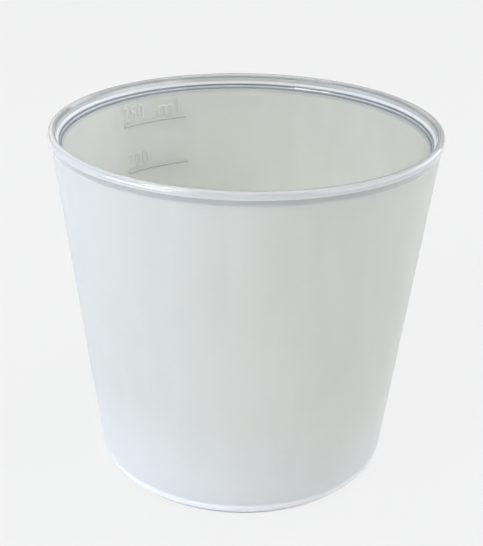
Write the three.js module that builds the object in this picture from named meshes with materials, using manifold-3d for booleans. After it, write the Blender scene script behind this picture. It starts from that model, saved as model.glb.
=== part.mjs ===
// Measuring cup: a tapered round cup of frosted plastic, with a beaded rim that has a seat for a lid,
// a low foot ring, and a volume scale in relief on the inside of the wall.
// Lengths are in millimetres. +Z is up, and the origin is the centre of the underside of the foot.
// The real cup is one moulding. Its features are separate solids here, which meet face to face.

import * as THREE from "three";
import { mergeVertices } from "three/addons/utils/BufferGeometryUtils.js";
import Module from "manifold-3d";

const wasm = await Module();
wasm.setup();

// Cup as a whole
const CUP_HEIGHT = 78.4;
const RIM_RADIUS = 42.1;
const BASE_RADIUS = 33.0;
const WALL_THICKNESS = 2.3;
const FLOOR_THICKNESS = 2.2;
const FLOOR_FILLET = 1.5;
const HEEL_RADIUS = 1.4;

// Foot ring under the floor
const FOOT_HEIGHT = 0.8;
const FOOT_INSET = 1.5;
const FOOT_WIDTH = 1.8;
const FOOT_EDGE = 0.2;

// Outside of the rim: a bead that stands out from the wall
const RIM_HEIGHT = 4.0;
const BEAD_OVERHANG = 0.77;
const BEAD_HEIGHT = 1.6;
const BEAD_TOP_RADIUS = 0.65;
const BEAD_LOWER_RADIUS = 0.3;
const BEAD_UNDERCUT = 0.9;

// Inside of the rim: a sloping lip, then a seat and a ledge for a lid, and the throat down to the wall
const LIP_WIDTH = 0.45;
const LIP_FALL = 0.6;
const SEAT_DEPTH = 2.05;
const SEAT_DRAFT = 0.3;
const LEDGE_WIDTH = 0.55;
const LEDGE_FALL = 0.15;
const THROAT_DEPTH = 3.2;
const THROAT_DRAFT = 0.08;
const THROAT_STEP = 0.45;
const THROAT_STEP_FALL = 0.15;

// Volume scale: raised lines at equal steps of volume, the top one a set depth below the rim
const GRADUATIONS = 5;
const ML_PER_GRADUATION = 50;
const TOP_MARK_DEPTH = 9.4;
const MARK_CENTRE_DEG = 126;
const MARK_SPAN_DEG = 26;
const MARK_RELIEF = 0.3;
const MARK_WIDTH = 0.7;
const MARK_CREST = 0.3;

// Fineness of the round surfaces
const SEGMENTS = 96;
const ARC_STEPS = 4;

const frosted = { color: 0xd9dede, roughness: 0.5, metalness: 0 };
const polished = { color: 0xdfe5e6, roughness: 0.18, metalness: 0 };

// Levels and radii that more than one piece uses
const rimBottom = CUP_HEIGHT - RIM_HEIGHT;
const floorTop = FOOT_HEIGHT + FLOOR_THICKNESS;
const wallBottom = floorTop + FLOOR_FILLET;
const wallTopRadius = RIM_RADIUS - BEAD_OVERHANG;
const wallSlope = (wallTopRadius - BASE_RADIUS) / (rimBottom - FOOT_HEIGHT);

function outerRadius(z) {
  return BASE_RADIUS + wallSlope * (z - FOOT_HEIGHT);
}

function innerRadius(z) {
  return outerRadius(z) - WALL_THICKNESS;
}

// Points from one end of a fillet to the other, bending towards the corner that it rounds
function fillet(start, corner, end) {
  const curve = new THREE.QuadraticBezierCurve(start, corner, end);
  return curve.getPoints(ARC_STEPS);
}

function point(radius, z) {
  return new THREE.Vector2(radius, z);
}

// A solid of revolution about +Z; the profile runs anticlockwise, radius to the right and height up
function revolve(profile) {
  const geometry = new THREE.LatheGeometry(profile, SEGMENTS);
  geometry.rotateX(Math.PI / 2);
  return closed(geometry);
}

function closed(geometry) {
  geometry.deleteAttribute("normal");
  geometry.deleteAttribute("uv");
  return mergeVertices(geometry, 1e-4);
}

function toManifold(geometry) {
  const vertProperties = new Float32Array(geometry.attributes.position.array);
  const triVerts = new Uint32Array(geometry.index.array);
  return new wasm.Manifold(new wasm.Mesh({ numProp: 3, vertProperties, triVerts }));
}

function toGeometry(solid) {
  const { vertProperties, triVerts } = solid.getMesh();
  const geometry = new THREE.BufferGeometry();
  geometry.setAttribute("position", new THREE.BufferAttribute(vertProperties, 3));
  geometry.setIndex(new THREE.BufferAttribute(triVerts, 1));
  return geometry;
}

function piece(name, geometry, look) {
  geometry.computeVertexNormals();
  const mesh = new THREE.Mesh(geometry, new THREE.MeshStandardMaterial(look));
  mesh.name = name;
  return mesh;
}

// Rim: bead outside, flat land on top, then the lip, lid seat, ledge and throat inside
function rimGeometry() {
  const beadBottom = CUP_HEIGHT - BEAD_HEIGHT;
  const undercutEnd = beadBottom - BEAD_UNDERCUT;
  const throatBottom = CUP_HEIGHT - THROAT_DEPTH;
  const ledgeZ = CUP_HEIGHT - SEAT_DEPTH;
  const stepInner = innerRadius(throatBottom - THROAT_STEP_FALL);
  const throatFoot = stepInner + THROAT_STEP;
  const throatTop = throatFoot + THROAT_DRAFT;
  const seatFoot = throatTop + LEDGE_WIDTH;
  const seatTop = seatFoot + SEAT_DRAFT;
  const profile = [
    point(innerRadius(rimBottom), rimBottom),
    point(outerRadius(rimBottom), rimBottom),
    ...fillet(
      point(outerRadius(undercutEnd), undercutEnd),
      point(outerRadius(beadBottom), beadBottom),
      point(RIM_RADIUS - BEAD_LOWER_RADIUS, beadBottom),
    ),
    ...fillet(
      point(RIM_RADIUS - BEAD_LOWER_RADIUS, beadBottom),
      point(RIM_RADIUS, beadBottom),
      point(RIM_RADIUS, beadBottom + BEAD_LOWER_RADIUS),
    ).slice(1),
    ...fillet(
      point(RIM_RADIUS, CUP_HEIGHT - BEAD_TOP_RADIUS),
      point(RIM_RADIUS, CUP_HEIGHT),
      point(RIM_RADIUS - BEAD_TOP_RADIUS, CUP_HEIGHT),
    ),
    point(seatTop + LIP_WIDTH, CUP_HEIGHT),
    point(seatTop, CUP_HEIGHT - LIP_FALL),
    point(seatFoot, ledgeZ),
    point(throatTop, ledgeZ - LEDGE_FALL),
    point(throatFoot, throatBottom),
    point(stepInner, throatBottom - THROAT_STEP_FALL),
    point(innerRadius(rimBottom), rimBottom),
  ];
  return revolve(profile);
}

// Side wall: a plain tapered tube between the base and the rim
function wallGeometry() {
  return revolve([
    point(innerRadius(wallBottom), wallBottom),
    point(outerRadius(wallBottom), wallBottom),
    point(outerRadius(rimBottom), rimBottom),
    point(innerRadius(rimBottom), rimBottom),
    point(innerRadius(wallBottom), wallBottom),
  ]);
}

// Inside of the base, from the axis out over the floor and up its fillet to the wall
function floorProfile() {
  const corner = innerRadius(floorTop);
  return [
    point(0, floorTop),
    ...fillet(
      point(corner - FLOOR_FILLET, floorTop),
      point(corner, floorTop),
      point(innerRadius(wallBottom), wallBottom),
    ),
  ];
}

// Base: floor, rounded heel outside and fillet inside
function baseGeometry() {
  const heelEnd = FOOT_HEIGHT + HEEL_RADIUS;
  return revolve([
    point(0, FOOT_HEIGHT),
    ...fillet(
      point(BASE_RADIUS - HEEL_RADIUS, FOOT_HEIGHT),
      point(BASE_RADIUS, FOOT_HEIGHT),
      point(outerRadius(heelEnd), heelEnd),
    ),
    point(outerRadius(wallBottom), wallBottom),
    ...floorProfile().reverse(),
  ]);
}

// Foot ring: the only face that touches the table
function footGeometry() {
  const outer = BASE_RADIUS - FOOT_INSET;
  const inner = outer - FOOT_WIDTH;
  return revolve([
    point(inner, FOOT_EDGE),
    point(inner + FOOT_EDGE, 0),
    point(outer - FOOT_EDGE, 0),
    point(outer, FOOT_EDGE),
    point(outer, FOOT_HEIGHT),
    point(inner, FOOT_HEIGHT),
    point(inner, FOOT_EDGE),
  ]);
}

// Volume that the cup holds up to a level, as a stack of cone slices
function volumeTo(level) {
  const inside = [...floorProfile(), point(innerRadius(level), level)];
  let volume = 0;
  for (let i = 1; i < inside.length; i += 1) {
    const low = inside[i - 1];
    const high = inside[i];
    const squares = low.x * low.x + low.x * high.x + high.x * high.x;
    volume += (Math.PI / 3) * (high.y - low.y) * squares;
  }
  return volume;
}

// Level at which the cup holds a volume, found by halving the height between the floor and the rim
function levelHolding(volume) {
  let low = wallBottom;
  let high = CUP_HEIGHT;
  while (high - low > 1e-4) {
    const middle = (low + high) / 2;
    if (volumeTo(middle) < volume) low = middle;
    else high = middle;
  }
  return low;
}

// Wedge of space that a graduation line spans, tall enough for every level
function markWedge() {
  const reach = 2 * RIM_RADIUS;
  const half = THREE.MathUtils.degToRad(MARK_SPAN_DEG / 2);
  const shape = new THREE.Shape([
    point(0, 0),
    point(reach * Math.cos(half), -reach * Math.sin(half)),
    point(reach, 0),
    point(reach * Math.cos(half), reach * Math.sin(half)),
  ]);
  const wedge = new THREE.ExtrudeGeometry(shape, { depth: CUP_HEIGHT, bevelEnabled: false });
  wedge.rotateZ(THREE.MathUtils.degToRad(MARK_CENTRE_DEG));
  return toManifold(closed(wedge));
}

// Graduation line: a low rib on the inside of the wall, with sloping sides
function graduationGeometry(level, wedge) {
  const low = level - MARK_WIDTH / 2;
  const high = level + MARK_WIDTH / 2;
  const crest = innerRadius(level) - MARK_RELIEF;
  const ring = revolve([
    point(crest, level - MARK_CREST / 2),
    point(innerRadius(low), low),
    point(innerRadius(high), high),
    point(crest, level + MARK_CREST / 2),
    point(crest, level - MARK_CREST / 2),
  ]);
  return toGeometry(toManifold(ring).intersect(wedge));
}

const cup = new THREE.Group();
cup.add(piece("foot_ring", footGeometry(), frosted));
cup.add(piece("cup_base", baseGeometry(), frosted));
cup.add(piece("cup_wall", wallGeometry(), frosted));
cup.add(piece("rim", rimGeometry(), polished));

const fullVolume = volumeTo(CUP_HEIGHT - TOP_MARK_DEPTH);
const wedge = markWedge();
for (let n = 1; n <= GRADUATIONS; n += 1) {
  const level = levelHolding((fullVolume * n) / GRADUATIONS);
  const name = `graduation_${n * ML_PER_GRADUATION}`;
  cup.add(piece(name, graduationGeometry(level, wedge), frosted));
}

export default cup;
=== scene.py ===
# %% [markdown]
# # A frosted measuring cup
#
# The cup is one moulding in frosted polypropylene: a tapered wall, a floor on a low foot ring, and a
# beaded rim with a polished surface. The scale stands in low relief on the inside of the wall.
# The CAD frame gives the places and sizes. This script makes the fine surface over them, and its finish.

# %% Load the frame
import math

import bmesh
import bpy
from mathutils import Matrix, Vector


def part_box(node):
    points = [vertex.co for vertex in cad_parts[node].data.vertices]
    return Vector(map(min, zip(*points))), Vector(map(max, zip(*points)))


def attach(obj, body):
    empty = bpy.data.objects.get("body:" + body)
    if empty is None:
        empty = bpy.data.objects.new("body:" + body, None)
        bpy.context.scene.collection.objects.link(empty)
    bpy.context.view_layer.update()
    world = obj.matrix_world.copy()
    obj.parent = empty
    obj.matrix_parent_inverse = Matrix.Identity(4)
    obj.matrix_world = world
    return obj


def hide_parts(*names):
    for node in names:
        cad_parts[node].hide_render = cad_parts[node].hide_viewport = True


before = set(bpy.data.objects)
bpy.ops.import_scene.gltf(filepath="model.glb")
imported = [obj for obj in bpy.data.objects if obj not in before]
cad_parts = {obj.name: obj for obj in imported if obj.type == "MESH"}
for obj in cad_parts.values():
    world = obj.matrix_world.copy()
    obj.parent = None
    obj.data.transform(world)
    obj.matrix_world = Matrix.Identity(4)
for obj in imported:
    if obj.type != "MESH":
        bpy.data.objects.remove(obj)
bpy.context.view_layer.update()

MM = 0.001
scene = bpy.context.scene
print("nodes:", ", ".join(sorted(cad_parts)))

# %% [markdown]
# ## Sizes
#
# The boxes of the CAD pieces say how tall the cup is, how wide its rim, wall and foot are, and how high
# each line of the scale sits. The wall is a cone, so two of its radii are enough to know every other one.
# Only the thickness of the plastic has to be said again, because a box doesn't show it.

# %% Sizes from the frame
WALL_THICKNESS = 2.3 * MM
FLOOR_THICKNESS = 2.2 * MM
FOOT_WIDTH = 1.8 * MM

# The far upper corner of each box
rim_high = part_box("rim")[1]
base_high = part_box("cup_base")[1]
foot_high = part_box("foot_ring")[1]
wall_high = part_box("cup_wall")[1]

cup_height = rim_high.z
rim_radius = rim_high.x
foot_height = foot_high.z
foot_radius = foot_high.x
floor_top = foot_height + FLOOR_THICKNESS
wall_slope = (wall_high.x - base_high.x) / (wall_high.z - base_high.z)


def outer_radius(z):
    return base_high.x + wall_slope * (z - base_high.z)


def inner_radius(z):
    return outer_radius(z) - WALL_THICKNESS


print(f"height {cup_height / MM:.1f} mm, rim {2 * rim_radius / MM:.1f} mm across")

# %% [markdown]
# ## Camera
#
# The camera stands where the photograph was taken from: about 25 degrees above the table, a quarter of a
# metre from the cup, and rolled by one degree. Its distance was worked out from how much smaller the
# base looks than the rim. It comes first, so that every later step can be judged through it.

# %% Camera
# The picture is taller than it is wide, so the width of the sensor spans its height.
IMAGE_HEIGHT_PX = 546
FOCAL_PX = 1100
SENSOR_MM = 36
ELEVATION = math.radians(24.95)
ROLL = math.radians(0.97)
DISTANCE = 5.978 * rim_radius
OFFSET_RIGHT = 0.0118 * rim_radius
OFFSET_UP = -0.0826 * rim_radius


def make_camera():
    forward = Vector((0, math.cos(ELEVATION), -math.sin(ELEVATION)))
    level_right = Vector((1, 0, 0))
    level_up = level_right.cross(forward)
    right = math.cos(ROLL) * level_right + math.sin(ROLL) * level_up
    up = math.cos(ROLL) * level_up - math.sin(ROLL) * level_right
    middle = Vector((0, 0, cup_height / 2))
    place = middle - OFFSET_RIGHT * right - OFFSET_UP * up - DISTANCE * forward
    data = bpy.data.cameras.new("camera")
    data.sensor_width = SENSOR_MM
    data.lens = FOCAL_PX * SENSOR_MM / IMAGE_HEIGHT_PX
    data.clip_start = 0.01
    data.clip_end = 20
    camera = bpy.data.objects.new("camera", data)
    turn = Matrix((right, up, -forward)).transposed()
    camera.matrix_world = Matrix.Translation(place) @ turn.to_4x4()
    scene.collection.objects.link(camera)
    scene.camera = camera
    print(f"camera {place.length:.3f} m from the origin, lens {data.lens:.1f} mm")


make_camera()

# %% [markdown]
# ## Helpers for colours and nodes
#
# Colours are written as the hex values that a colour picker shows, and one function turns them linear.
# One more function adds a shader or geometry node, sets it and links its inputs, which keeps each
# material short enough to read as a recipe.


# %% Helpers for colours and nodes
def linear(hex_colour):
    values = [int(hex_colour[i : i + 2], 16) / 255 for i in (1, 3, 5)]
    decoded = [v / 12.92 if v <= 0.04045 else ((v + 0.055) / 1.055) ** 2.4 for v in values]
    return (*decoded, 1.0)


def add(tree, kind, settings=None, **inputs):
    """Adds a node; an input is a value, or the socket of an earlier node.

    An input goes by its name, with _ for a space, or as i0, i1 and so on by its place.
    """
    node = tree.nodes.new(kind)
    for key, value in (settings or {}).items():
        setattr(node, key, value)
    for key, value in inputs.items():
        by_place = key[0] == "i" and key[1:].isdigit()
        socket = node.inputs[int(key[1:]) if by_place else key.replace("_", " ")]
        if isinstance(value, bpy.types.NodeSocket):
            tree.links.new(value, socket)
        else:
            socket.default_value = value
    return node


# %% [markdown]
# ## Moulded polypropylene
#
# Polypropylene without a dye is neither clear nor white: light passes through it, but is scattered on
# the way. A part of each ray is refracted through the wall, which is the shader's transmission, and the
# rest wanders inside it, which is subsurface scattering. Both come from one Principled shader, so one
# recipe makes every finish of the cup, and only its numbers differ.
# The wall left a mould with a fine sandblasted texture, so it is rough and nothing shows sharply through
# it. The rim and the steps inside it left polished steel, so they are smooth, clearer, and catch crisp
# highlights. Where the plastic is thick, as in the heel, light doesn't get straight through, and it looks
# like milk; this whiter finish also serves as a painted highlight along the heel and the seat's corner.
# Soft upright bands come from the plastic's flow up the wall as the mould filled. Darker tints along the
# rim's steps, under the bead and on the scale's lines are painted shade, and the lowest part of the wall
# carries painted light.


# %% Recipe for moulded polypropylene
PP_IOR = 1.49
SCATTER_REACH = 6 * MM
CLOUD_SIZE = 22 * MM
BAND_WIDTH = 6 * MM
BAND_LENGTH = 45 * MM
BAND_SHARE = 0.4
FLOW_DEPTH = 0.25 * MM
FLOW_STRENGTH = 0.2
# A sandblasted mould leaves a grain of about 0.05 mm. It is drawn seven times as coarse, so that it shows.
GRAIN_SIZE = 0.35 * MM
GRAIN_DEPTH = 0.03 * MM
SKIN_ROUGHNESS = 0.08
# Noise keeps to the middle of its range, so tints and roughness are spread over this part of it.
NOISE_LOW = 0.3
NOISE_HIGH = 0.7
# Painted light: up to this height, the lowest part of the wall is tinted cooler and made less clear, which
# renders it lighter.
PAINTED_BASE_LIGHT_TOP = 25 * MM
PAINTED_BASE_LIGHT_TINT = "#F6FAFF"
PAINTED_BASE_LIGHT_CLEAR_SHARE = 0.6


def polypropylene(
    name, pale, deep, painted_shade_colour, clear, scatter, roughness, grain, skin=0.0, painted_base_light=False
):
    """Undyed PP: tints, colour of painted shade, shares of clear and scattered light, roughness range,
    grain, how much of a glassy skin it has, and whether it carries the painted light at the foot of the
    wall.
    """
    material = bpy.data.materials.new(name)
    material.use_nodes = True
    tree = material.node_tree
    tree.nodes.clear()
    place = add(tree, "ShaderNodeTexCoord").outputs["Object"]
    clouds = add(tree, "ShaderNodeTexNoise", Vector=place, Scale=1 / CLOUD_SIZE, Detail=3.0)
    squashed = add(
        tree,
        "ShaderNodeMapping",
        Vector=place,
        Scale=(1 / BAND_WIDTH, 1 / BAND_WIDTH, 1 / BAND_LENGTH),
    )
    bands = add(tree, "ShaderNodeTexNoise", Vector=squashed.outputs[0], Scale=1.0, Detail=2.0)
    flow = add(
        tree,
        "ShaderNodeMix",
        {"data_type": "FLOAT"},
        i0=BAND_SHARE,
        i2=clouds.outputs["Fac"],
        i3=bands.outputs["Fac"],
    )
    tint = add(tree, "ShaderNodeValToRGB", Fac=flow.outputs[0])
    tint.color_ramp.elements[0].position = NOISE_LOW
    tint.color_ramp.elements[0].color = linear(deep)
    tint.color_ramp.elements[1].position = NOISE_HIGH
    tint.color_ramp.elements[1].color = linear(pale)
    # Painted shade: the outline's shade attribute mixes the tint towards a darker colour of painted shade.
    shade = add(tree, "ShaderNodeAttribute", {"attribute_name": "shade"})
    tinted = add(
        tree,
        "ShaderNodeMix",
        {"data_type": "RGBA"},
        i0=shade.outputs["Fac"],
        i6=tint.outputs["Color"],
        i7=linear(painted_shade_colour),
    )
    colour = tinted.outputs[2]
    # Painted light: towards the foot the tint turns cooler and less light passes straight through, so the
    # lowest wall renders lighter.
    if painted_base_light:
        height = add(tree, "ShaderNodeSeparateXYZ", Vector=place).outputs["Z"]
        above = add(
            tree,
            "ShaderNodeMapRange",
            Value=height,
            From_Min=foot_height,
            From_Max=PAINTED_BASE_LIGHT_TOP,
            To_Min=PAINTED_BASE_LIGHT_CLEAR_SHARE,
        ).outputs["Result"]
        painted_base_light_mix = add(
            tree,
            "ShaderNodeMix",
            {"data_type": "RGBA"},
            i0=above,
            i6=linear(PAINTED_BASE_LIGHT_TINT),
            i7=colour,
        )
        colour = painted_base_light_mix.outputs[2]
        clear = add(
            tree, "ShaderNodeMath", {"operation": "MULTIPLY"}, i0=above, i1=clear
        ).outputs[0]
    gloss = add(
        tree,
        "ShaderNodeMapRange",
        Value=flow.outputs[0],
        From_Min=NOISE_LOW,
        From_Max=NOISE_HIGH,
        To_Min=roughness[0],
        To_Max=roughness[1],
    )
    waves = add(
        tree,
        "ShaderNodeBump",
        Height=flow.outputs[0],
        Strength=FLOW_STRENGTH,
        Distance=FLOW_DEPTH,
    )
    speckle = add(tree, "ShaderNodeTexNoise", Vector=place, Scale=1 / GRAIN_SIZE, Detail=2.0)
    bump = add(
        tree,
        "ShaderNodeBump",
        Height=speckle.outputs["Fac"],
        Strength=grain,
        Distance=GRAIN_DEPTH,
        Normal=waves.outputs["Normal"],
    )
    shader = add(
        tree,
        "ShaderNodeBsdfPrincipled",
        Base_Color=colour,
        Roughness=gloss.outputs["Result"],
        IOR=PP_IOR,
        Transmission_Weight=clear,
        Subsurface_Weight=scatter,
        Subsurface_Radius=(1.0, 1.0, 1.0),
        Subsurface_Scale=SCATTER_REACH,
        Coat_Weight=skin,
        Coat_Roughness=SKIN_ROUGHNESS,
        Normal=bump.outputs["Normal"],
    )
    add(tree, "ShaderNodeOutputMaterial", Surface=shader.outputs["BSDF"])
    print("made", name)
    return material


# %% [markdown]
# ## The finishes
#
# The whole cup is of one plastic, so every tint is nearly white, and what parts the finishes is how they
# treat light. Six of them are needed: four for the parts of the cup's own outline, and two for the relief
# on its inside, which is so low that mostly a change of tone gives it away. The lines' darker tint is
# painted shade.

# %% Finishes
# Sandblasted: the wall glows softly and evenly, with no sharp reflection, and only tones show through it.
# Its tint carries painted shade below the throat's step and under the bead, and painted light near the
# foot.
frosted = polypropylene(
    "polypropylene_frosted",
    "#FCFCF2",
    "#F0F2E9",
    "#C9CDD0",
    clear=0.4,
    scatter=1.0,
    roughness=(0.4, 0.5),
    grain=0.15,
    painted_base_light=True,
)
# Mirror-polished: the bead draws crisp lines of light; its greyer bands on the land, the lip and under the
# bead are painted shade.
polished = polypropylene(
    "polypropylene_polished",
    "#F8FBF8",
    "#F3F7F4",
    "#A3A5A3",
    clear=0.35,
    scatter=1.0,
    roughness=(0.1, 0.16),
    grain=0.02,
    skin=0.9,
)
# Polished and clear: the throat's two dark rings are painted shade, a blue-grey tint for the dark view
# refracted through it.
clear = polypropylene(
    "polypropylene_clear_step",
    "#F3F6F8",
    "#ECF0F3",
    "#74818A",
    clear=0.4,
    scatter=1.0,
    roughness=(0.06, 0.1),
    grain=0.0,
)
# Thick: little light passes straight through, so the seat's corner and the heel look whiter than the wall;
# this whiter finish also paints the highlight lines along them.
milky_highlight = polypropylene(
    "polypropylene_thick_corner_highlight",
    "#FBFCFD",
    "#F7F9FB",
    "#C9CDD0",
    clear=0.02,
    scatter=1.0,
    roughness=(0.2, 0.28),
    grain=0.04,
)
# Raised ribs: tinted a shade darker than the wall, as painted shade for their steep sides turned away from
# the light.
relief = polypropylene(
    "polypropylene_relief_painted_shade",
    "#D9DAD5",
    "#D3D4CF",
    "#D3D4CF",
    clear=0.0,
    scatter=0.0,
    roughness=(0.3, 0.38),
    grain=0.05,
)
# Shallow strokes: almost the tone of the wall, so that the numbers come and go with the light.
faint = polypropylene(
    "polypropylene_shallow_relief",
    "#F6F7F1",
    "#F1F2EC",
    "#F1F2EC",
    clear=0.0,
    scatter=0.0,
    roughness=(0.4, 0.5),
    grain=0.1,
)

# %% [markdown]
# ## The outline of the cup
#
# Half of the cup's section, from the centre of its underside round the foot, up the outside, over the
# rim, down the inside and back to the centre of the floor. Edges that a mould leaves round are arcs here,
# because it is the arcs that catch the highlights which make the rim read as a bead and two steps.
# Each corner also has a finish, and a shade, which is painted shade. Clear plastic shows a darker line
# where an edge bends light away from the eye; those lines, the shadow under the bead and the darker
# underside of
# the foot are painted here: the shade, from 0 to 1, says how far the tint there goes to a darker colour.


# %% How an outline is drawn
ARC_STEPS = 8
ROW_SPACING = 3 * MM
EDGE_MARGIN = 0.05 * MM
SAME_PLACE = 1e-7


def at(radius, z):
    return Vector((radius, 0, z))


def arc(start, corner, end):
    """Points of a fillet from start to end, bending towards the corner that it rounds."""
    steps = [i / ARC_STEPS for i in range(ARC_STEPS + 1)]
    return [start * (1 - t) ** 2 + corner * (2 * t * (1 - t)) + end * t**2 for t in steps]


def rounded(before, corner, after, reach):
    """The fillet at a corner, which starts and ends at a reach in mm towards each neighbour."""
    start = corner + (before - corner).normalized() * (reach[0] * MM)
    end = corner + (after - corner).normalized() * (reach[1] * MM)
    return arc(start, corner, end)


def outline(corners):
    """Points from corner to corner, each with its shade and finish.

    A corner has a place, the reach of its fillet, a shade, and the finish from there to the next one.
    Flats get rows between, and rows close to both ends, so that shading doesn't run across them.
    """
    places = [corner[0] for corner in corners]
    points = [(places[0], *corners[0][2:])]
    for i in range(1, len(corners)):
        place, reach, shade, finish = corners[i]
        curve = rounded(places[i - 1], place, places[i + 1], reach) if reach else [place]
        start, start_shade, last_finish = points[-1]
        length = (curve[0] - start).length
        if length > 5 * EDGE_MARGIN:
            rows = math.ceil(length / ROW_SPACING)
            margin = EDGE_MARGIN / length
            for share in (margin, *(k / rows for k in range(1, rows)), 1 - margin):
                mixed = start_shade + share * (shade - start_shade)
                points.append((start.lerp(curve[0], share), mixed, last_finish))
        points += [(spot, shade, finish) for spot in curve]
    return [
        p for i, p in enumerate(points) if i == 0 or (p[0] - points[i - 1][0]).length > SAME_PLACE
    ]


# %% Outline of the cup
FROSTED, MILKY_HIGHLIGHT, POLISHED, CLEAR = 0, 1, 2, 3

# The heel, whose thick and milky plastic, whiter as a painted highlight, ends where the frosted wall
# starts
HEEL_CORNER = 0.8 * MM
THICK_TOP = 2.5 * MM
FROST_START = 3.2 * MM

# The rim, from its top downwards, and from the wall inwards
BEAD_HEIGHT = 1.6 * MM
UNDERCUT_HEIGHT = 1.3 * MM
UNDERCUT_BLEND = 0.3 * MM
LIP_WIDTH = 0.45 * MM
LIP_FALL = 0.6 * MM
LIP_SHADE_IN = 0.1 * MM
LIP_SHADE_DOWN = 0.5 * MM
SEAT_DEPTH = 2.05 * MM
SEAT_DRAFT = 0.3 * MM
LEDGE_WIDTH = 0.55 * MM
LEDGE_FALL = 0.15 * MM
THROAT_DEPTH = 3.2 * MM
THROAT_DRAFT = 0.08 * MM
THROAT_STEP = 0.45 * MM
STEP_FALL = 0.15 * MM
STEP_SHADE_DOWN = 1.0 * MM

# The small rib in the throat, with a groove above and below it
RIB_START = 0.2 * MM
RIB_CREST = 0.56 * MM
RIB_END = 0.8 * MM
RIB_RELIEF = 0.06 * MM
GROOVE_DEPTH = 0.03 * MM


def foot_and_wall():
    """Corners of the outside, from the centre of the underside up to the polished rim."""
    foot_inner = foot_radius - FOOT_WIDTH
    heel = outer_radius(foot_height)
    polish_start = cup_height - BEAD_HEIGHT - UNDERCUT_HEIGHT
    frost_end = polish_start - UNDERCUT_BLEND
    # The shade column is painted shade: darker under the foot and below the bead's undercut; milky rows
    # paint the heel's highlight.
    return [
        (at(0, foot_height), None, 0, FROSTED),
        (at(foot_inner, foot_height), (0.15, 0.15), 0, FROSTED),
        (at(foot_inner, 0), (0.2, 0.2), 0, MILKY_HIGHLIGHT),
        (at(foot_radius, 0), (0.2, 0.2), 0, MILKY_HIGHLIGHT),
        (at(foot_radius, foot_height), (0.1, 0.06), 0.1, MILKY_HIGHLIGHT),
        (at(heel - HEEL_CORNER, foot_height), (0.4, 0.4), 0.2, MILKY_HIGHLIGHT),
        (at(heel, foot_height + HEEL_CORNER), (0.5, 0.6), 0, MILKY_HIGHLIGHT),
        (at(outer_radius(THICK_TOP), THICK_TOP), None, 0, MILKY_HIGHLIGHT),
        (at(outer_radius(FROST_START), FROST_START), None, 0, FROSTED),
        (at(outer_radius(frost_end), frost_end), None, 0.2, FROSTED),
        (at(outer_radius(polish_start), polish_start), None, 0.45, POLISHED),
    ]


def rim_and_inside():
    """Corners of the bead, the land, the lid seat, the throat, and the inside down to the floor."""
    bead_bottom = cup_height - BEAD_HEIGHT
    lip_foot = cup_height - LIP_FALL
    ledge = cup_height - SEAT_DEPTH
    ledge_foot = ledge - LEDGE_FALL
    throat_foot = cup_height - THROAT_DEPTH
    step = throat_foot - STEP_FALL
    throat_radius = inner_radius(step) + THROAT_STEP
    ledge_radius = throat_radius + THROAT_DRAFT
    seat_foot = ledge_radius + LEDGE_WIDTH
    seat_top = seat_foot + SEAT_DRAFT
    land_radius = seat_top + LIP_WIDTH
    shade_end = step - STEP_SHADE_DOWN
    # The shade column is painted shade: the shadow under the bead, grey lines on the land and lip, and the
    # throat's dark rings.
    return [
        (at(outer_radius(bead_bottom), bead_bottom), (0.9, 0.2), 0.7, POLISHED),
        (at(rim_radius, bead_bottom), (0.28, 0.3), 0.1, POLISHED),
        (at(rim_radius, cup_height), (1.15, 0.85), 0.27, POLISHED),
        (at(land_radius, cup_height), (0.12, 0.15), 0.6, POLISHED),
        (at(seat_top, lip_foot), (0.12, 0.12), 1.0, POLISHED),
        (at(seat_top - LIP_SHADE_IN, lip_foot - LIP_SHADE_DOWN), (0.1, 0.1), 0.4, POLISHED),
        (at(seat_foot, ledge), (0.4, 0.3), 0.3, MILKY_HIGHLIGHT),
        (at(ledge_radius, ledge_foot), (0.12, 0.06), 0.7, CLEAR),
        (at(ledge_radius + GROOVE_DEPTH, ledge_foot - RIB_START), (0.08, 0.08), 1.0, CLEAR),
        (at(throat_radius - RIB_RELIEF, ledge_foot - RIB_CREST), (0.12, 0.12), 0.0, CLEAR),
        (at(throat_radius + GROOVE_DEPTH, ledge_foot - RIB_END), (0.06, 0.06), 0.7, CLEAR),
        (at(throat_radius, throat_foot), (0.05, 0.1), 0.7, CLEAR),
        (at(inner_radius(step), step), (0.1, 0.1), 0.95, FROSTED),
        (at(inner_radius(shade_end), shade_end), (0.1, 0.1), 0, FROSTED),
        (at(inner_radius(floor_top), floor_top), (1.5, 1.5), 0, FROSTED),
        (at(0, floor_top), None, 0, FROSTED),
    ]


section = outline(foot_and_wall() + rim_and_inside())
print(f"outline of {len(section)} points")

# %% [markdown]
# ## The body of the cup
#
# A cup is round, so a lathe could make it: a lathe turns an outline about an axis. So does this tree of
# geometry nodes, which keeps its sizes as inputs. It starts from a flat grid with a column for each point
# of the outline and a row for each step round the cup, and moves each point of the grid to its place on
# the circle. Rows that meet are merged. Every point of the outline hands on its shade and its finish, and
# the tree then picks one of the four finishes from them.

# %% Body of the cup
STEPS_ROUND = 256
MERGE_DISTANCE = 0.001 * MM


def profile_object(name, points):
    """An edge mesh that carries places into a tree, with a shade and a finish at each of them."""
    mesh = bpy.data.meshes.new(name)
    mesh.from_pydata([p[0] for p in points], [(i, i + 1) for i in range(len(points) - 1)], [])
    mesh.attributes.new("shade", "FLOAT", "POINT").data.foreach_set("value", [p[1] for p in points])
    mesh.attributes.new("finish", "FLOAT", "POINT").data.foreach_set("value", [p[2] for p in points])
    thing = bpy.data.objects.new(name, mesh)
    scene.collection.objects.link(thing)
    return thing


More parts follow.
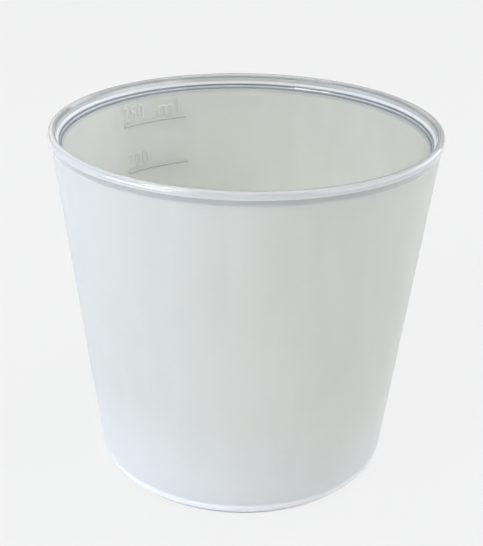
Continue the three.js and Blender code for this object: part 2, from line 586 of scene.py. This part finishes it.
def new_tree(name, sizes):
    """A geometry tree with a geometry output and one named input for each size."""
    tree = bpy.data.node_groups.new(name, "GeometryNodeTree")
    for size, kind in sizes:
        tree.interface.new_socket(size, in_out="INPUT", socket_type=kind)
    tree.interface.new_socket("Geometry", in_out="OUTPUT", socket_type="NodeSocketGeometry")
    return tree, tree.nodes.new("NodeGroupInput").outputs


def make_mesh(name, tree, values):
    """Runs a tree on a new object and keeps the result as a plain mesh."""
    maker = bpy.data.objects.new(name + "_maker", bpy.data.meshes.new(name + "_maker"))
    scene.collection.objects.link(maker)
    modifier = maker.modifiers.new("nodes", "NODES")
    modifier.node_group = tree
    identifiers = {s.name: s.identifier for s in tree.interface.items_tree if s.in_out == "INPUT"}
    for size, value in values.items():
        modifier[identifiers[size]] = value
    graph = bpy.context.evaluated_depsgraph_get()
    mesh = bpy.data.meshes.new_from_object(maker.evaluated_get(graph))
    bpy.data.objects.remove(maker)
    piece = bpy.data.objects.new(name, mesh)
    mesh.name = name
    scene.collection.objects.link(piece)
    return piece


def point_outwards(piece):
    """Closes a piece, turns its faces outwards and says how much space it fills."""
    work = bmesh.new()
    work.from_mesh(piece.data)
    bmesh.ops.remove_doubles(work, verts=work.verts, dist=SAME_PLACE)
    bmesh.ops.recalc_face_normals(work, faces=work.faces)
    if work.calc_volume(signed=True) < 0:
        bmesh.ops.reverse_faces(work, faces=work.faces)
    volume = work.calc_volume(signed=True)
    work.to_mesh(piece.data)
    work.free()
    piece.data.shade_smooth()
    print(f"{piece.name}: {len(piece.data.polygons)} faces, {volume * 1e6:.2f} cubic cm")


def lathe_tree():
    tree, size = new_tree(
        "lathe",
        [
            ("Outline", "NodeSocketObject"),
            ("Points", "NodeSocketInt"),
            ("Steps round", "NodeSocketInt"),
        ],
    )
    rows = add(tree, "ShaderNodeMath", {"operation": "ADD"}, i0=size["Steps round"], i1=1.0)
    grid = add(
        tree,
        "GeometryNodeMeshGrid",
        Vertices_X=size["Points"],
        Vertices_Y=rows.outputs[0],
    )
    index = add(tree, "GeometryNodeInputIndex").outputs[0]
    column = add(tree, "ShaderNodeMath", {"operation": "DIVIDE"}, i0=index, i1=rows.outputs[0])
    column = add(tree, "ShaderNodeMath", {"operation": "FLOOR"}, i0=column.outputs[0])
    row = add(tree, "ShaderNodeMath", {"operation": "FLOORED_MODULO"}, i0=index, i1=rows.outputs[0])
    share = add(
        tree, "ShaderNodeMath", {"operation": "DIVIDE"}, i0=row.outputs[0], i1=size["Steps round"]
    )
    angle = add(
        tree, "ShaderNodeMath", {"operation": "MULTIPLY"}, i0=share.outputs[0], i1=2 * math.pi
    )
    outline_mesh = add(tree, "GeometryNodeObjectInfo", Object=size["Outline"]).outputs["Geometry"]
    fields = {
        "place": ("FLOAT_VECTOR", add(tree, "GeometryNodeInputPosition").outputs[0]),
        "shade": ("FLOAT", add(tree, "GeometryNodeInputNamedAttribute", Name="shade").outputs[0]),
        "finish": ("FLOAT", add(tree, "GeometryNodeInputNamedAttribute", Name="finish").outputs[0]),
    }
    spot = {
        name: add(
            tree,
            "GeometryNodeSampleIndex",
            {"data_type": kind, "domain": "POINT"},
            Geometry=outline_mesh,
            Value=field,
            Index=column.outputs[0],
        ).outputs[0]
        for name, (kind, field) in fields.items()
    }
    geometry = grid.outputs["Mesh"]
    for name in ("shade", "finish"):
        kept = add(
            tree,
            "GeometryNodeStoreNamedAttribute",
            {"data_type": "FLOAT", "domain": "POINT"},
            Geometry=geometry,
            Name=name,
            Value=spot[name],
        )
        geometry = kept.outputs[0]
    turned = add(
        tree,
        "ShaderNodeVectorRotate",
        {"rotation_type": "Z_AXIS"},
        Vector=spot["place"],
        Angle=angle.outputs[0],
    )
    moved = add(tree, "GeometryNodeSetPosition", Geometry=geometry, Position=turned.outputs[0])
    merged = add(
        tree, "GeometryNodeMergeByDistance", Geometry=moved.outputs[0], Distance=MERGE_DISTANCE
    )
    geometry = add(tree, "GeometryNodeRealizeInstances", Geometry=merged.outputs[0]).outputs[0]
    finish = add(tree, "GeometryNodeInputNamedAttribute", Name="finish").outputs[0]
    finishes = ((FROSTED, frosted), (MILKY_HIGHLIGHT, milky_highlight), (POLISHED, polished), (CLEAR, clear))
    for number, material in finishes:
        chosen = add(
            tree, "ShaderNodeMath", {"operation": "GREATER_THAN"}, i0=finish, i1=number - 0.5
        )
        coated = add(
            tree,
            "GeometryNodeSetMaterial",
            Geometry=geometry,
            Selection=chosen.outputs[0],
            Material=material,
        )
        geometry = coated.outputs[0]
    add(tree, "NodeGroupOutput", Geometry=geometry)
    return tree


outline_object = profile_object("outline", section)
cup = make_mesh(
    "cup_shell",
    lathe_tree(),
    {
        "Outline": outline_object,
        "Points": len(section),
        "Steps round": STEPS_ROUND,
    },
)
bpy.data.objects.remove(outline_object)
point_outwards(cup)
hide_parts("foot_ring", "cup_base", "cup_wall", "rim")
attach(cup, "root")

# %% [markdown]
# ## The lines of the scale
#
# Each line is a low half-round rib on the inside of the wall. All five span the same angle, so one tree
# makes them: it puts an arc of a circle at each level, sweeps a small section along it, and lets the
# ends fade into the wall, as a cutter leaves them when it lifts out of the mould. Five curves drawn by
# hand would do as well, but here a new level is one more point.

# %% Lines of the scale
MARK_CENTRE = math.radians(126)
MARK_SPAN = math.radians(26)
MARK_RADIUS = 0.3 * MM
# Each end fades over this share of the line's length, down to this share of its size.
MARK_FADE = 0.05
MARK_TIP = 0.3
POINTS_ALONG = 65
POINTS_AROUND = 12


def scale_levels():
    """Height of each line by its millilitres, from the boxes of the CAD lines."""
    levels = {}
    for name in sorted(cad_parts):
        if name.startswith("graduation_"):
            low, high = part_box(name)
            levels[int(name.split("_")[1])] = (low.z + high.z) / 2
    return levels


def line_tree():
    tree, size = new_tree(
        "scale lines",
        [
            ("Levels", "NodeSocketObject"),
            ("Start", "NodeSocketFloat"),
            ("Span", "NodeSocketFloat"),
            ("Rib radius", "NodeSocketFloat"),
            ("Fade", "NodeSocketFloat"),
            ("Tip", "NodeSocketFloat"),
        ],
    )
    bow = add(
        tree,
        "GeometryNodeCurveArc",
        Resolution=POINTS_ALONG,
        Radius=1.0,
        Start_Angle=size["Start"],
        Sweep_Angle=size["Span"],
    )
    place = add(tree, "GeometryNodeInputPosition").outputs[0]
    spot = add(tree, "ShaderNodeSeparateXYZ", Vector=place)
    widening = add(tree, "ShaderNodeCombineXYZ", X=spot.outputs["X"], Y=spot.outputs["X"], Z=1.0)
    levels = add(tree, "GeometryNodeObjectInfo", Object=size["Levels"])
    points = add(tree, "GeometryNodeMeshToPoints", Mesh=levels.outputs["Geometry"])
    bows = add(
        tree,
        "GeometryNodeInstanceOnPoints",
        Points=points.outputs[0],
        Instance=bow.outputs["Curve"],
        Scale=widening.outputs[0],
    )
    axis = add(tree, "ShaderNodeCombineXYZ", X=0.0, Y=0.0, Z=spot.outputs["Z"])
    stacked = add(
        tree, "GeometryNodeSetPosition", Geometry=bows.outputs[0], Position=axis.outputs[0]
    )
    real = add(tree, "GeometryNodeRealizeInstances", Geometry=stacked.outputs[0])
    along = add(tree, "GeometryNodeSplineParameter").outputs["Factor"]
    centred = add(tree, "ShaderNodeMath", {"operation": "SUBTRACT"}, i0=along, i1=0.5)
    off = add(tree, "ShaderNodeMath", {"operation": "ABSOLUTE"}, i0=centred.outputs[0])
    to_end = add(tree, "ShaderNodeMath", {"operation": "SUBTRACT"}, i0=0.5, i1=off.outputs[0])
    fade = add(
        tree,
        "ShaderNodeMapRange",
        {"interpolation_type": "SMOOTHSTEP"},
        Value=to_end.outputs[0],
        From_Max=size["Fade"],
        To_Min=size["Tip"],
    )
    tapered = add(
        tree, "GeometryNodeSetCurveRadius", Curve=real.outputs[0], Radius=fade.outputs["Result"]
    )
    ring = add(
        tree,
        "GeometryNodeCurvePrimitiveCircle",
        Resolution=POINTS_AROUND,
        Radius=size["Rib radius"],
    )
    ribs = add(
        tree,
        "GeometryNodeCurveToMesh",
        Curve=tapered.outputs[0],
        Profile_Curve=ring.outputs["Curve"],
        Fill_Caps=True,
    )
    whole = add(tree, "GeometryNodeRealizeInstances", Geometry=ribs.outputs[0])
    finished = add(tree, "GeometryNodeSetMaterial", Geometry=whole.outputs[0], Material=relief)
    add(tree, "NodeGroupOutput", Geometry=finished.outputs[0])
    return tree


levels = scale_levels()
level_points = profile_object("levels", [(at(inner_radius(z), z), 0, 0) for z in levels.values()])
lines = make_mesh(
    "graduation_lines",
    line_tree(),
    {
        "Levels": level_points,
        "Start": MARK_CENTRE - MARK_SPAN / 2,
        "Span": MARK_SPAN,
        "Rib radius": MARK_RADIUS,
        "Fade": MARK_FADE,
        "Tip": MARK_TIP,
    },
)
bpy.data.objects.remove(level_points)
point_outwards(lines)
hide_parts(*(f"graduation_{millilitres}" for millilitres in levels))
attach(lines, "root")

# %% [markdown]
# ## The numbers of the scale
#
# A number stands above the left end of each line, and the top line is also marked with its unit. Plain
# numbers like these are cut into the mould with a small milling tool, so their strokes are even and low.
# Text objects give the strokes. They are made into meshes and then wrapped onto the cone, a point at a
# time: along the text becomes round the wall, up the text becomes up the wall, and its depth becomes
# relief. Seen from the middle of the cup, text runs clockwise, so its angle falls from left to right.

# %% Numbers of the scale
NUMBER_HEIGHT = 3.7 * MM
NUMBER_GAP = 0.95 * MM
# A stroke stands out from the wall by its relief, and is rooted in it.
NUMBER_RELIEF = 0.1 * MM
NUMBER_ROOT = 0.1 * MM
NUMBER_EDGE = 0.04 * MM
DIGIT_WIDTH = 2.1 * MM
UNIT_WIDTH = 6.0 * MM
NUMBER_START = math.radians(138.8)
UNIT_START = math.radians(123.8)
# A digit's height as a share of the font's size
DIGIT_SHARE = 0.7
LETTER_SPACING = 1.08


def text_mesh(body):
    """A text as a flat plate with rounded edges, before it is sized and bent."""
    curve = bpy.data.curves.new("number", "FONT")
    curve.body = body
    curve.size = NUMBER_HEIGHT / DIGIT_SHARE
    curve.space_character = LETTER_SPACING
    curve.extrude = (NUMBER_RELIEF + NUMBER_ROOT) / 2 - NUMBER_EDGE
    curve.bevel_depth = NUMBER_EDGE
    curve.bevel_resolution = 2
    curve.resolution_u = 6
    maker = bpy.data.objects.new("number", curve)
    scene.collection.objects.link(maker)
    graph = bpy.context.evaluated_depsgraph_get()
    mesh = bpy.data.meshes.new_from_object(maker.evaluated_get(graph))
    bpy.data.objects.remove(maker)
    return mesh


def wrap_on_wall(mesh, left_angle, foot, width):
    """Fits a text into its width and the number height, and bends it round the wall."""
    left = min(v.co.x for v in mesh.vertices)
    stretch = width / (max(v.co.x for v in mesh.vertices) - left)
    bottom = min(v.co.y for v in mesh.vertices)
    rise = NUMBER_HEIGHT / (max(v.co.y for v in mesh.vertices) - bottom)
    front = (NUMBER_RELIEF + NUMBER_ROOT) / 2
    for vertex in mesh.vertices:
        z = foot + (vertex.co.y - bottom) * rise
        radius = inner_radius(z) - NUMBER_RELIEF + front - vertex.co.z
        angle = left_angle - (vertex.co.x - left) * stretch / inner_radius(z)
        vertex.co = (radius * math.cos(angle), radius * math.sin(angle), z)


def scale_numbers():
    """All the numbers and the unit, joined into one object."""
    labels = [
        (str(ml), NUMBER_START, level, len(str(ml)) * DIGIT_WIDTH) for ml, level in levels.items()
    ]
    labels.append(("ml", UNIT_START, levels[max(levels)], UNIT_WIDTH))
    work = bmesh.new()
    for body, left_angle, level, width in labels:
        mesh = text_mesh(body)
        wrap_on_wall(mesh, left_angle, level + NUMBER_GAP, width)
        work.from_mesh(mesh)
        bpy.data.meshes.remove(mesh)
    mesh = bpy.data.meshes.new("scale_numbers")
    work.to_mesh(mesh)
    work.free()
    mesh.materials.clear()
    mesh.materials.append(faint)
    numbers = bpy.data.objects.new("scale_numbers", mesh)
    scene.collection.objects.link(numbers)
    return numbers


numbers = scale_numbers()
point_outwards(numbers)
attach(numbers, "root")

# %% [markdown]
# ## Floor and light
#
# The cup stands on a wide sheet of pale studio paper. A large softbox overhead fills its inside. The
# window side is the left: a wide softbox there makes the wall brighter and cooler than the front, and a
# low strip beside it brings out the lower wall and the heel. Two narrow lamps at the front left, one high
# and one at the height of the table, leave the two lines of highlight on the bead. A wide softbox at the
# right and a weak one behind keep the shadows open.
# The paper and the backdrop also shine by themselves where the camera sees them, directly or through the
# cup, because a photographer lights a background apart from the product. The backdrop is dimmer in
# reflections, as the room round a studio table is. No other surface is lit by this glow.

# %% Floor and light
PAPER = "#F3F3F3"
FLOOR_SIZE = 4.0
FIBRES_PER_METRE = 900.0
FIBRE_DEPTH = 0.05 * MM
GLOW_SHARE = 0.9
ROOM_IN_REFLECTIONS = 0.3
AIM = Vector((0, 0, 40 * MM))
LAMPS = [
    # Name, place, watts, width and height, colour
    ("top", (0, 0, 1.0), 10.0, (1.4, 1.4), "#FAFAFE"),
    ("left", (-0.94, 0, 0.29), 1.9, (1.1, 0.5), "#C8DCFF"),
    ("key", (-0.61, -0.54, 0.57), 2.4, (0.4, 0.1), "#FDFFFC"),
    ("back", (-0.41, 0.71, 0.57), 1.0, (0.7, 0.7), "#FFFBF4"),
    ("right", (1.0, 0, 0.36), 10.8, (2.4, 0.68), "#F8FAFF"),
    ("low left", (-0.91, -0.42, 0.06), 3.1, (0.5, 0.12), "#CCE0FF"),
    ("low key", (-0.77, -0.64, 0.06), 2.2, (0.4, 0.06), "#F0F6FF"),
]


def studio_paper():
    """Uncoated paper: matt and even, with fibres that are just too fine to pick out."""
    material = bpy.data.materials.new("matte_studio_paper")
    material.use_nodes = True
    tree = material.node_tree
    tree.nodes.clear()
    place = add(tree, "ShaderNodeTexCoord").outputs["Object"]
    fibres = add(tree, "ShaderNodeTexNoise", Vector=place, Scale=FIBRES_PER_METRE, Detail=3.0)
    bump = add(
        tree, "ShaderNodeBump", Height=fibres.outputs["Fac"], Strength=0.1, Distance=FIBRE_DEPTH
    )
    paper = add(
        tree, "ShaderNodeBsdfDiffuse", Color=linear(PAPER), Normal=bump.outputs["Normal"]
    )
    glow = add(tree, "ShaderNodeEmission", Color=linear(PAPER), Strength=1.0)
    path = add(tree, "ShaderNodeLightPath")
    seen = add(
        tree,
        "ShaderNodeMath",
        {"operation": "MAXIMUM"},
        i0=path.outputs["Is Camera Ray"],
        i1=path.outputs["Is Glossy Ray"],
    )
    seen = add(
        tree,
        "ShaderNodeMath",
        {"operation": "MAXIMUM"},
        i0=seen.outputs[0],
        i1=path.outputs["Is Transmission Ray"],
    )
    share = add(
        tree, "ShaderNodeMath", {"operation": "MULTIPLY"}, i0=seen.outputs[0], i1=GLOW_SHARE
    )
    mix = add(
        tree,
        "ShaderNodeMixShader",
        i0=share.outputs[0],
        i1=paper.outputs[0],
        i2=glow.outputs[0],
    )
    add(tree, "ShaderNodeOutputMaterial", Surface=mix.outputs[0])
    return material


def make_floor():
    half = FLOOR_SIZE / 2
    mesh = bpy.data.meshes.new("floor")
    corners = [(-half, -half, 0), (half, -half, 0), (half, half, 0), (-half, half, 0)]
    mesh.from_pydata(corners, [], [(0, 1, 2, 3)])
    mesh.materials.append(studio_paper())
    floor = bpy.data.objects.new("floor", mesh)
    scene.collection.objects.link(floor)


def make_sky():
    world = bpy.data.worlds.new("studio")
    world.use_nodes = True
    tree = world.node_tree
    tree.nodes.clear()
    path = add(tree, "ShaderNodeLightPath")
    mirrored = add(
        tree,
        "ShaderNodeMath",
        {"operation": "MAXIMUM"},
        i0=path.outputs["Is Glossy Ray"],
        i1=path.outputs["Is Transmission Ray"],
    )
    seen = add(
        tree,
        "ShaderNodeMath",
        {"operation": "MULTIPLY_ADD"},
        i0=mirrored.outputs[0],
        i1=ROOM_IN_REFLECTIONS,
        i2=path.outputs["Is Camera Ray"],
    )
    sky = add(tree, "ShaderNodeBackground", Color=linear(PAPER), Strength=seen.outputs[0])
    add(tree, "ShaderNodeOutputWorld", Surface=sky.outputs[0])
    scene.world = world


def make_softbox(name, place, power, size, colour):
    data = bpy.data.lights.new(name, "AREA")
    data.shape = "RECTANGLE"
    data.size, data.size_y = size
    data.energy = power
    data.color = linear(colour)[:3]
    lamp = bpy.data.objects.new(name, data)
    lamp.location = place
    lamp.rotation_euler = (AIM - Vector(place)).to_track_quat("-Z", "Y").to_euler()
    scene.collection.objects.link(lamp)


make_floor()
make_sky()
for lamp_values in LAMPS:
    make_softbox(*lamp_values)
scene.view_settings.view_transform = "Standard"
print(f"floor, backdrop and {len(LAMPS)} softboxes made")
